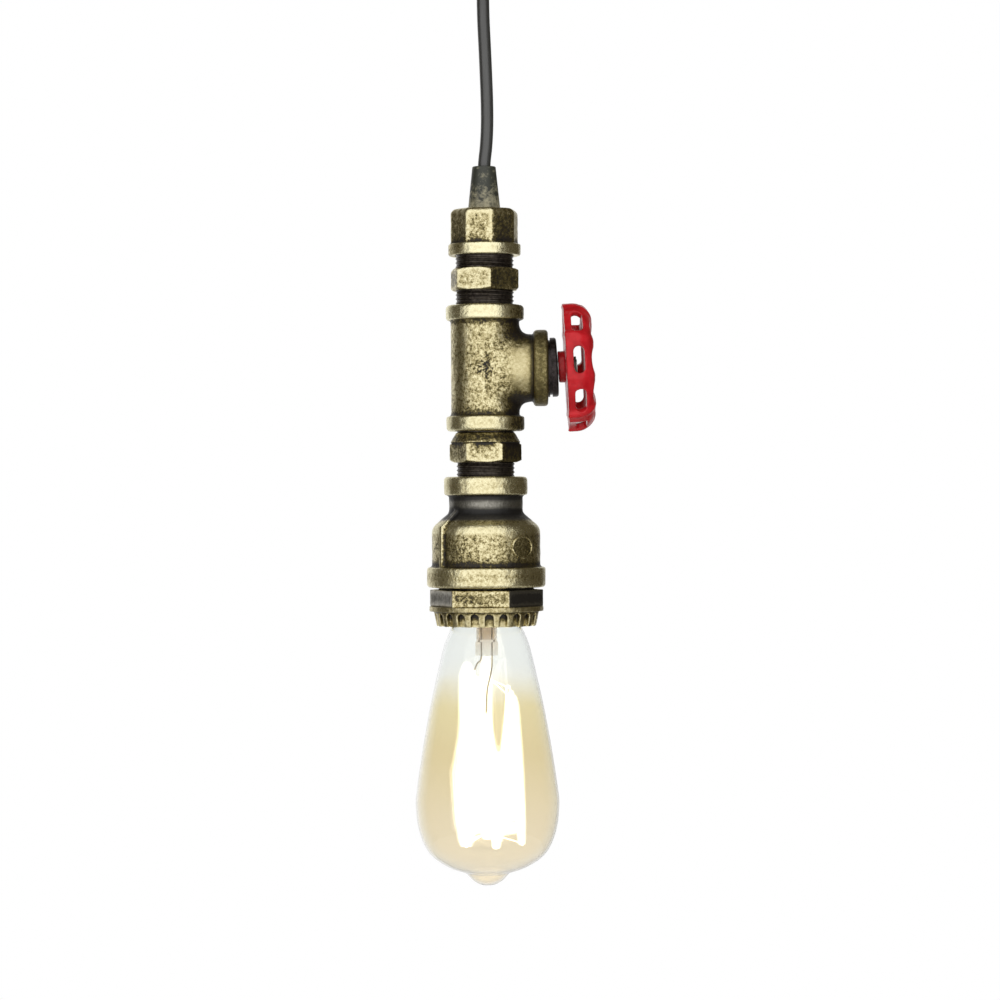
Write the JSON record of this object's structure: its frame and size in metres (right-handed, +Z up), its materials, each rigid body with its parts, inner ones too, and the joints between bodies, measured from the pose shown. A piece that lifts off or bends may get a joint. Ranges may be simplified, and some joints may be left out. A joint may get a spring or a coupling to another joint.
{
  "type": "pipe pendant light",
  "caption": "Pendant lamp of iron pipe fittings with a red handwheel on a tee, hung by a cord from a ceiling canopy, with a pear-shaped amber filament bulb.",
  "frame": {"origin": "on the ceiling plane, midway between the bracket's two screw slots, on the lamp's axis", "axes": "+Z up into the ceiling, +X along the tee's branch towards the handwheel"},
  "size_m": [0.1054, 0.1, 0.4422],
  "materials": {
    "antique_bronze": "rubbed antique bronze over rough cast iron",
    "canopy_bronze": "satin antique bronze lacquer",
    "wheel_red": "gloss red enamel on cast iron",
    "zinc_steel": "bright zinc plating",
    "dark_steel": "dark plating",
    "brass": "bare brass",
    "boot_plastic": "matt grey moulding",
    "cord_jacket": "matt round jacket",
    "core_brown": "matt insulation",
    "core_blue": "matt insulation",
    "block_white": "matt moulding",
    "holder_black": "matt phenolic moulding",
    "cap_metal": "thin pressed shell",
    "black_glass": "black vitrified insulator",
    "solder": "soldered contact",
    "amber_glass": "clear at the neck and amber below",
    "clear_glass": "clear",
    "lead_wire": "nickel wire",
    "filament_wire": "thin carbon wire"
  },
  "bodies": {
    "ceiling": {"ceiling_bracket": "zinc_steel", "ceiling_canopy": "canopy_bronze", "canopy_screws": "dark_steel", "terminal_block": "block_white", "terminal_sleeves": "brass", "terminal_block_screws": "zinc_steel", "terminal_block_mounting_screw": "zinc_steel", "cord_grip": "canopy_bronze", "grip_locknut": "zinc_steel", "ceiling_cord_end": "cord_jacket", "ceiling_live_core": "core_brown", "ceiling_neutral_core": "core_blue", "grip_clamp_screw": "dark_steel"},
    "cord": {"pendant_cord": "cord_jacket"},
    "lamp": {"strain_relief_boot": "boot_plastic", "boot_locknut": "zinc_steel", "cord_stop_collar": "zinc_steel", "lamp_cord_end": "cord_jacket", "octagonal_cap": "antique_bronze", "upper_hex_nipple": "antique_bronze", "tee": "antique_bronze", "lower_hex_nipple": "antique_bronze", "bell_reducer": "antique_bronze", "hex_bushing": "antique_bronze", "crown_ring": "antique_bronze", "lampholder_casing": "dark_steel", "lampholder_insulator": "holder_black", "screw_shell": "brass", "centre_contact": "brass", "contact_terminals": "brass", "contact_terminal_screws": "zinc_steel", "branch_plug": "dark_steel", "switch_housing": "dark_steel", "switch_end_cover": "holder_black", "switch_contacts": "brass", "switch_jam_nut": "zinc_steel", "live_supply_core": "core_brown", "switched_live_core": "core_brown", "neutral_core": "core_blue"},
    "wheel": {"handwheel": "wheel_red", "spindle": "zinc_steel", "wheel_washer": "dark_steel", "wheel_nut": "dark_steel", "switch_rotor": "holder_black", "rotor_contact_bridge": "brass"},
    "bulb_tip": {"bulb_tip_contact": "solder"},
    "bulb": {"bulb_cap": "cap_metal", "bulb_insulator": "black_glass", "glass_envelope": "amber_glass", "stem_glass": "clear_glass", "centre_rod": "clear_glass", "lead_wires": "lead_wire", "upper_anchors": "lead_wire", "lower_anchors": "lead_wire", "filament": "filament_wire"}
  },
  "joints": [
    {"name": "cord_swing", "type": "hinge", "parent": "ceiling", "child": "cord", "pos_m": [0, 0, -0.035], "axis": [0, 1, 0], "range_deg": [-25, 25]},
    {"name": "lamp_tilt", "type": "hinge", "parent": "cord", "child": "lamp", "pos_m": [0, 0, -0.124], "axis": [1, 0, 0], "range_deg": [-25, 25]},
    {"name": "handwheel_turn", "type": "hinge", "parent": "lamp", "child": "wheel", "pos_m": [0.024, 0, -0.2118], "axis": [0.9988, 0, 0.0488], "continuous": true},
    {"name": "bulb_slide", "type": "slide", "parent": "lamp", "child": "bulb_tip", "axis": [0, 0, -1], "range_m": [0, 0.01815]},
    {"name": "bulb_turn", "type": "hinge", "parent": "bulb_tip", "child": "bulb", "pos_m": [0, 0, -0.2927], "axis": [0, 0, -1], "range_deg": [0, 1800]}
  ],
  "couplings": [
    {"joint": "bulb_turn", "follows": "bulb_slide", "rad_per_m": 1731.4}
  ]
}
